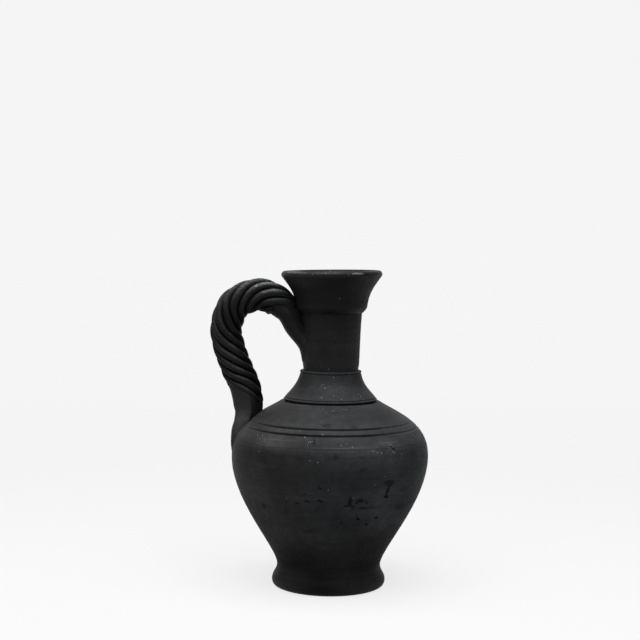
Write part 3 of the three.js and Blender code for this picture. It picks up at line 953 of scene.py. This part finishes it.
def away_from(shader, place, across, up, half_across, half_up, lean=0):
    """Distance from the middle of an oval on the side towards the viewer, 1 at its edge."""
    inputs = {
        "Vector": place, "Location": (across * MM, 0, up * MM), "Rotation": (0, math.radians(lean), 0),
        "Scale": (half_across * MM, 100, half_up * MM),
    }
    local = shader.node("ShaderNodeMapping", inputs, vector_type="TEXTURE").outputs[0]
    return shader.vector("LENGTH", {0: local}, "Value")


def spot(shader, place, *oval):
    """1 inside a small oval on the side towards the viewer, fading to 0 at its edge."""
    return shader.ramp(away_from(shader, place, *oval), 0.7, 1.15, 1, 0)


def marked(shader, place, marks):
    """How strongly any of the marks on the viewer's side covers a point."""
    shares = [shader.times(spot(shader, place, *oval), strength) for *oval, strength in marks]
    return shader.times(shader.most(*shares), shader.ramp(shader.axis("Y"), *MARKS_END, 1, 0))


def clay_tone(shader, tint):
    """Tone by height, partly painted light and shade, with a tint that fades towards the handle and the
    foot.
    """
    level = shader.math("DIVIDE", shader.axis("Z"), RIM_Z)
    ramp = shader.node("ShaderNodeValToRGB", {"Fac": level})
    stops = ramp.color_ramp.elements
    while len(stops) < len(TONES_WITH_PAINTED_SHADE):
        stops.new(0.5)
    for stop, (height, tone) in zip(stops, TONES_WITH_PAINTED_SHADE):
        stop.position = height * MM / RIM_Z
        stop.color = grey(tone)
    from_handle = shader.ramp(shader.axis("X"), -40 * MM, 10 * MM)
    from_foot = shader.ramp(shader.axis("Z"), 40 * MM, 65 * MM)
    cast = shader.mix(shader.times(from_handle, from_foot), WHITE, grey(1, tint))
    return shader.vector("MULTIPLY", {0: ramp.outputs["Color"], 1: cast})


def paint_light_and_shade(shader, change):
    """Brightness with the broad patches of painted light and shade on the viewer's side."""
    behind = shader.ramp(shader.axis("Y"), *PATCHES_END)
    for *oval, brightness in LIGHT_AND_SHADE_PATCHES:
        away = shader.math("ADD", away_from(shader, shader.place, *oval), behind)
        change = shader.times(change, shader.ramp(away, 0, 1.3, brightness, 1))
    return change


def mottled(shader, colour, clouds, mottle, grain, bands=None):
    """A colour made lighter and darker by soft clouds, small mottling and fine grain.

    Turned clay has bands from the wheel and the patches of painted light and shade too.
    """
    change = shader.varied(clouds, *CLOUD_CHANGE)
    change = shader.times(change, shader.varied(mottle, *MOTTLE_CHANGE))
    change = shader.times(change, shader.varied(grain, *GRAIN_CHANGE))
    if bands:
        change = shader.times(change, shader.varied(bands, *BAND_CHANGE))
        change = paint_light_and_shade(shader, change)
    return shader.vector("SCALE", {0: colour, "Scale": change})


def add_rubs(shader, colour, streak):
    """Fine pale lines round the body where it was rubbed with a stone."""
    lines = shader.ramp(streak, 0.5, 0.64)
    ovals = [away_from(shader, shader.place, *oval) for oval in RUBBED_PATCHES]
    patches = shader.most(*[shader.ramp(away, 0.2, 1.2, 1, 0) for away in ovals])
    return shader.mix(shader.times(lines, patches, RUBBED_COVER), colour, grey(RUBBED_TONE))


def speck_share(shader):
    """Share of the grains that show as pale specks: few on the foot and neck, more on the shoulder."""
    height = shader.axis("Z")
    share = shader.ramp(height, 60 * MM, 115 * MM, FEW_SPECKS, MANY_SPECKS)
    share = shader.times(share, shader.ramp(height, 170 * MM, 185 * MM, 1, NECK_SPECKS))
    patches = [shader.times(spot(shader, shader.place, *oval), PATCH_SPECKS) for oval in SPECK_PATCHES]
    return shader.most(share, *patches)


def add_specks(shader, colour):
    """Pale mineral grains in the clay, and the largest ones at their places."""
    cells = shader.node("ShaderNodeTexVoronoi", {"Vector": shader.place, "Scale": SPECK_CELLS})
    small = shader.ramp(cells.outputs["Distance"], 0.1, 0.2, 1, 0)
    chance = shader.node("ShaderNodeSeparateColor", {0: cells.outputs["Color"]}).outputs[0]
    chosen = shader.math("LESS_THAN", chance, speck_share(shader))
    colour = shader.mix(shader.times(small, chosen), colour, grey(SPECK_TONE))
    large = [(across, up, LARGE_SPECK, LARGE_SPECK, 0, 1) for across, up in PALE_SPECKS]
    return shader.mix(marked(shader, shader.place, large), colour, grey(LARGE_SPECK_TONE))


def add_smudges_and_shadow(shader, colour, smudges_and_shadow):
    """Soot smudges on the viewer's side and painted shadow under the mouth's step, with ragged edges."""
    inputs = {"Vector": shader.place, "Scale": RAGGED_SCALE, "Detail": 3}
    ragged = shader.node("ShaderNodeTexNoise", inputs).outputs["Color"]
    shift = shader.vector("SUBTRACT", {0: ragged, 1: (0.5, 0.5, 0.5)})
    inputs = {0: shift, 1: (RAGGED_REACH, 0, RAGGED_REACH), 2: shader.place}
    place = shader.vector("MULTIPLY_ADD", inputs)
    return shader.mix(marked(shader, place, smudges_and_shadow), colour, grey(SMUDGE_AND_SHADOW_TONE, SMUDGE_TINT))


def clay(name, roughness, specular, tint, smudges_and_shadow=(), gloss=()):
    """Smoke-blackened clay: tone by height with painted light and shade, mottling, painted shade inside and
    in creases, rubbed lines and specks.

    It can have smudges with painted shadow among them, and spots that are worn glossy and painted paler as
    highlights.
    """
    shader = Shader(name)
    clouds = shader.noise(1, 5, 0.6, stretch=(22, 22, 40), distortion=0.5)
    mottle = shader.noise(150, 4, 0.65)
    grain = shader.noise(1000, 3, 0.75)
    streak = shader.noise(1, 5, 0.65, stretch=(16, 16, 900))
    bands = shader.noise(1, 3, 0.6, stretch=(12, 12, 300))
    colour = mottled(shader, clay_tone(shader, tint), clouds, mottle, grain, bands)
    # Painted shade from the points' attribute: inside the vessel, and on the tail's gap side and crease
    colour = shader.mix(shader.times(shader.painted_shade(), PAINTED_SHADE_COVER), colour, grey(PAINTED_SHADE_TONE))
    colour = add_rubs(shader, colour, streak)
    colour = add_specks(shader, colour)
    if smudges_and_shadow:
        colour = add_smudges_and_shadow(shader, colour, smudges_and_shadow)
    rough = shader.ramp(mottle, 0.25, 0.75, roughness - ROUGH_CHANGE, roughness + ROUGH_CHANGE)
    height = shader.axis("Z")
    low = shader.ramp(height, 10 * MM, 22 * MM, specular, WAIST_SHINE * specular)
    high = shader.ramp(height, 60 * MM, 110 * MM, 0, specular)
    shine = shader.most(low, high)
    if gloss:
        # Worn glossy spots, also painted paler as a highlight
        scratched = shader.ramp(grain, 0.35, 0.55, 0.6, 1)
        worn = shader.times(marked(shader, shader.place, gloss), scratched)
        colour = shader.mix(worn, colour, grey(WORN_HIGHLIGHT_TONE))
        rough = shader.math("SUBTRACT", rough, shader.times(worn, GLOSS_SMOOTHING))
        shine = shader.most(shine, worn)
    normal = shader.bump(mottle, MOTTLE_DEPTH)
    normal = shader.bump(grain, GRAIN_DEPTH, normal)
    normal = shader.bump(streak, STREAK_DEPTH, normal)
    shader.give("Base Color", colour)
    shader.give("Roughness", rough)
    shader.give("Specular IOR Level", shine)
    shader.give("Normal", normal)
    return shader.material


def rope_material():
    """Rope clay: painted shade in the grooves, towards the finger gap and by the root; rubbed pale and
    smooth on the ridges that face up, where the paleness is partly a painted highlight.
    """
    shader = Shader("rope_clay")
    clouds = shader.noise(45, 5, 0.6, distortion=0.5)
    mottle = shader.noise(500, 4, 0.7)
    grain = shader.noise(1700, 3, 0.7)
    painted_shade = shader.painted_shade()
    # Paler where the ridges face up: rubbing wear, and a painted highlight from the light above
    facing = shader.node("ShaderNodeNewGeometry").outputs["Normal"]
    up = shader.ramp(shader.node("ShaderNodeSeparateXYZ", {0: facing}).outputs["Z"], 0.1, 0.8)
    ridge = shader.ramp(painted_shade, 0, 0.35, 1, 0)
    patchy = shader.ramp(mottle, 0.35, 0.65, 0.2, 1)
    crest = shader.ramp(away_from(shader, shader.place, *ROPE_WEAR_AND_HIGHLIGHT), 0.3, 1.4, 1, 0.5)
    worn = shader.times(ridge, up, patchy, crest)
    clean, shaded = grey(ROPE_TONE, GREENISH), grey(ROPE_GROOVE_TONE, GREENISH)
    # Painted shade from the points' attribute: dark in the grooves and towards the finger gap
    colour = shader.mix(shader.ramp(painted_shade, 0.2, 0.8), clean, shaded)
    colour = mottled(shader, colour, clouds, mottle, grain)
    # A patch of painted shade on the rope's outer side
    dull = shader.ramp(away_from(shader, shader.place, *ROPE_SHADE), 0.2, 1.2, 0.5, 1)
    colour = shader.vector("SCALE", {0: colour, "Scale": dull})
    colour = shader.mix(worn, colour, grey(ROPE_WORN_HIGHLIGHT_TONE, GREENISH))
    # Pale chips on the worn ridges, painted as small highlights too
    chip_highlights = shader.ramp(shader.noise(800, 2, 0.6), 0.52, 0.62)
    chip_highlights = shader.times(chip_highlights, shader.ramp(worn, 0.25, 0.7))
    colour = shader.mix(chip_highlights, colour, grey(ROPE_CHIP_HIGHLIGHT_TONE, GREENISH))
    normal = shader.bump(mottle, ROPE_MOTTLE_DEPTH)
    normal = shader.bump(grain, GRAIN_DEPTH, normal)
    shader.give("Base Color", colour)
    shader.give("Roughness", shader.ramp(worn, 0, 1, 0.6, 0.42))
    shader.give("Specular IOR Level", shader.ramp(worn, 0, 1, 0.12, 0.5))
    shader.give("Normal", normal)
    return shader.material


SMOKED = clay("smoked_clay", 0.6, 0.1, NEUTRAL, SMUDGES_AND_STEP_SHADOW)
BURNISHED = clay("burnished_clay", 0.55, 0.05, BLUISH, SMUDGES_AND_STEP_SHADOW)
WORN = clay("worn_clay", 0.5, 0.14, NEUTRAL, gloss=WORN_HIGHLIGHT_SPOTS)
ROPE = rope_material()


# Pieces

def add_section(name, outline, node, slot, material, worn_outline=None):
    """A turned section of the vessel, with painted shade on the inside."""
    points, faces = turned(outline, worn_outline)
    # Painted shade on the faces inside the wall
    painted_shade = smoothstep(-off_vessel(points), 0.3 * NECK_WALL, 0.7 * NECK_WALL)
    add_piece(name, points, faces, node, slot, material, painted_shade)


def build_vessel():
    lined, worn = shoulder_outline(LINE_DEPTH), shoulder_outline(0)
    add_section("clay_foot", foot_outline(), "foot", "smoked_clay", SMOKED)
    add_section("clay_bowl", bowl_outline(), "body_bowl", "burnished_clay", BURNISHED)
    add_section("clay_shoulder", lined, "shoulder_dome", "burnished_clay", BURNISHED, worn)
    add_section("clay_collar", collar_outline(), "neck_collar", "burnished_clay", BURNISHED)
    add_section("clay_neck", neck_outline(), "neck_tube", "smoked_clay", SMOKED)
    add_section("clay_mouth", mouth_outline(), "mouth_flare", "smoked_clay", SMOKED)
    add_section("clay_lip", lip_outline(), "rim_lip", "worn_clay", WORN)


def build_handle():
    share, angle = end_places(CORE_SPAN, CORE_STEPS)
    core = loft(share, angle, np.full(share.shape, CORE_SHARE))
    add_piece("clay_core", *tube(core), "handle_core", "rope_clay", ROPE)
    for number in range(STRANDS):
        grid, painted_shade = strand_grid(number)
        node = f"handle_strand_{number + 1}"
        add_piece(f"clay_strand_{number + 1}", *tube(grid), node, "rope_clay", ROPE, painted_shade)
    share, angle = end_places(ROOT_SPAN, END_STEPS)
    root = loft(share, angle, root_cover(share, angle))
    root = smeared(root, ROOT_SMEAR, STEP_Z - 0.6 * NECK_RISE, STEP_Z - 0.25 * NECK_RISE)
    add_piece("clay_root", *tube(root), "handle_root", "smoked_clay", SMOKED)
    share, angle = end_places(TAIL_SPAN, END_STEPS)
    tail = loft(share, angle, tail_cover(share, angle))
    tail = smeared(tail, TAIL_SMEAR, BELLY_Z + 0.2 * SHOULDER_RISE, BELLY_Z + 0.5 * SHOULDER_RISE)
    painted_shade = tail_shade(tail, share, angle)
    add_piece("clay_tail", *tube(tail), "handle_tail", "burnished_clay", BURNISHED, painted_shade)


# Studio

PHOTO_SIZE = 640
FOCAL_PIXELS = 1400
SENSOR = 36
CAMERA_PLACE = (-9.06 * MM, -1102.7 * MM, 265.98 * MM)
CAMERA_PITCH = 2.88
CAMERA_ROLL = 0.69
SWEEP_FRONT = -3.0
SWEEP_BACK = 1.6
SWEEP_WIDTH = 6.0
SWEEP_CURVE = 0.8
SWEEP_TOP = 4.0
SWEEP_STEPS = 24
PAPER = grey(0.9)
PAPER_BOUNCE = grey(0.35)
BACKGROUND = grey(0.965)
FLOOR_GLOW = 0.8
BACKDROP_GLOW = 0.93
GLOW_FROM = 0.1
SKY_LIGHT = 0.04
SKY_SEEN = 0.9
LAMP_PLACE = (-0.05, -0.4, 1.45)
LAMP_TARGET = (0, 0, 0.15)
LAMP_WIDTH = 1.6
LAMP_LENGTH = 1.4
LAMP_POWER = 30


def add_camera():
    data = bpy.data.cameras.new("camera")
    data.sensor_width = SENSOR
    data.lens = SENSOR * FOCAL_PIXELS / PHOTO_SIZE
    camera = add_object("camera", data)
    tilt = Matrix.Rotation(math.radians(90 - CAMERA_PITCH), 4, "X")
    roll = Matrix.Rotation(math.radians(CAMERA_ROLL), 4, "Z")
    camera.matrix_world = Matrix.Translation(CAMERA_PLACE) @ tilt @ roll
    bpy.context.scene.camera = camera


def paper_material():
    """White paper that the camera sees near its own white, with a soft share of the jug's shadow."""
    shader = Shader("paper")
    shader.tree.nodes.remove(shader.surface)
    path = shader.node("ShaderNodeLightPath")
    colour = shader.mix(path.outputs["Is Diffuse Ray"], PAPER, PAPER_BOUNCE)
    lit = shader.node("ShaderNodeBsdfDiffuse", {"Color": colour}).outputs[0]
    flat = shader.node("ShaderNodeEmission", {"Color": BACKGROUND, "Strength": 1.0}).outputs[0]
    rays = ("Is Camera Ray", "Is Glossy Ray", "Is Transmission Ray")
    sharp = shader.most(*[path.outputs[ray] for ray in rays])
    glow = shader.ramp(shader.axis("Y"), GLOW_FROM, SWEEP_BACK, FLOOR_GLOW, BACKDROP_GLOW)
    seen = shader.times(sharp, glow)
    shown = shader.node("ShaderNodeMixShader", {0: seen, 1: lit, 2: flat}).outputs[0]
    shader.put(shader.tree.nodes["Material Output"].inputs["Surface"], shown)
    return shader.material


def add_sweep():
    """Floor that curves up into a backdrop."""
    bend = np.linspace(0, math.pi / 2, SWEEP_STEPS)
    depth = SWEEP_BACK + SWEEP_CURVE * np.sin(bend)
    curve = np.stack([depth, SWEEP_CURVE * (1 - np.cos(bend))], axis=1)
    profile = np.vstack([[SWEEP_FRONT, 0], curve, [SWEEP_BACK + SWEEP_CURVE, SWEEP_TOP]])
    points = [(x, y, z) for y, z in profile for x in (-SWEEP_WIDTH / 2, SWEEP_WIDTH / 2)]
    faces = [(2 * i, 2 * i + 1, 2 * i + 3, 2 * i + 2) for i in range(len(profile) - 1)]
    mesh = bpy.data.meshes.new("sweep")
    mesh.from_pydata(points, [], faces)
    mesh.polygons.foreach_set("use_smooth", [True] * len(faces))
    mesh.materials.append(paper_material())
    sweep = add_object("sweep", mesh)


def add_lamp():
    """One wide soft lamp above and in front."""
    data = bpy.data.lights.new("top", "AREA")
    data.shape = "RECTANGLE"
    data.size = LAMP_WIDTH
    data.size_y = LAMP_LENGTH
    data.energy = LAMP_POWER
    lamp = add_object("top", data)
    turn = (Vector(LAMP_PLACE) - Vector(LAMP_TARGET)).to_track_quat("Z", "Y")
    lamp.matrix_world = Matrix.Translation(LAMP_PLACE) @ turn.to_matrix().to_4x4()


def add_world():
    """Faint light from all round, which only the camera sees as white beyond the paper's edge."""
    world = bpy.data.worlds.new("studio")
    world.use_nodes = True
    nodes, links = world.node_tree.nodes, world.node_tree.links
    sky = nodes["Background"]
    sky.inputs["Color"].default_value = WHITE
    seen = nodes.new("ShaderNodeMapRange")
    seen.inputs["To Min"].default_value = SKY_LIGHT
    seen.inputs["To Max"].default_value = SKY_SEEN
    links.new(nodes.new("ShaderNodeLightPath").outputs["Is Camera Ray"], seen.inputs["Value"])
    links.new(seen.outputs["Result"], sky.inputs["Strength"])
    bpy.context.scene.world = world


def build_studio():
    add_camera()
    add_sweep()
    add_world()
    add_lamp()
    bpy.context.scene.view_settings.view_transform = "Standard"


build_studio()
build_vessel()
build_handle()
